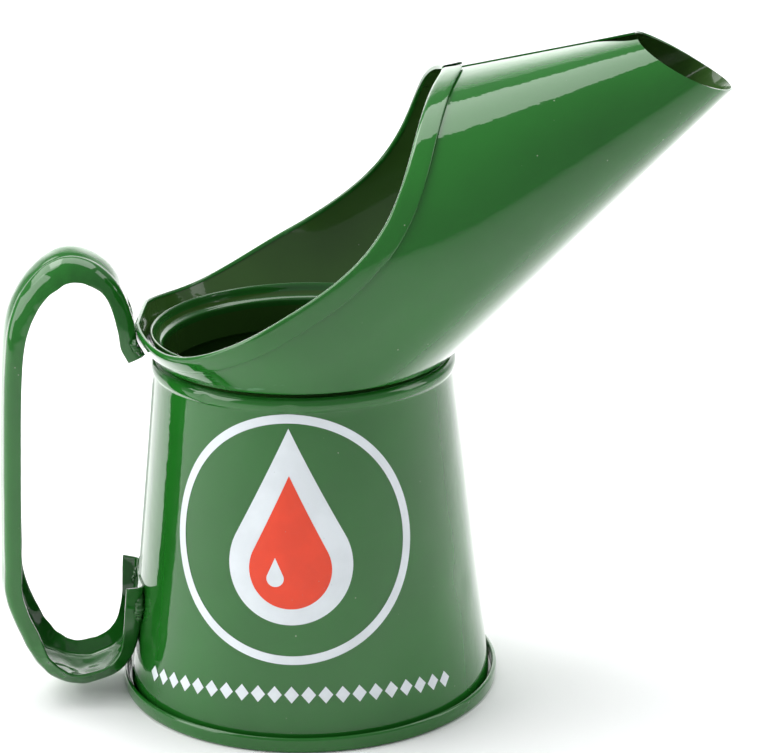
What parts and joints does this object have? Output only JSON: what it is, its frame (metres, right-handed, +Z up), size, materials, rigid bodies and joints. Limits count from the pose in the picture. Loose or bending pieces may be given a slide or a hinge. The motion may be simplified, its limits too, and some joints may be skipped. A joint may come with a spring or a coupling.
{
  "type": "motor oil can",
  "caption": "Green enamelled tin motor oil pourer with a tapered can, a wide open-topped spout and a channel-section strap handle.",
  "frame": {"origin": "centre of the base pan's underside, on the can's axis", "axes": "+Z up along the can's axis; +X out along the spout; the handle is at -X, turned slightly towards -Y"},
  "size_m": [0.2291, 0.1216, 0.2099],
  "materials": {
    "green_enamel": "gloss",
    "dark_enamel": "gloss",
    "white_print": "gloss",
    "painted_solder": "satin"
  },
  "bodies": {
    "root": {"base_pan": "green_enamel", "body_shell": "green_enamel", "neck_collar": "dark_enamel", "spout_shell": "green_enamel", "mouth_hem": "green_enamel", "handle_strap": "green_enamel", "upper_solder_right": "painted_solder", "upper_solder_left": "painted_solder", "lower_solder_right": "painted_solder", "lower_solder_left": "painted_solder", "emblem_decal": "white_print", "band_decal": "white_print"}
  },
  "joints": []
}
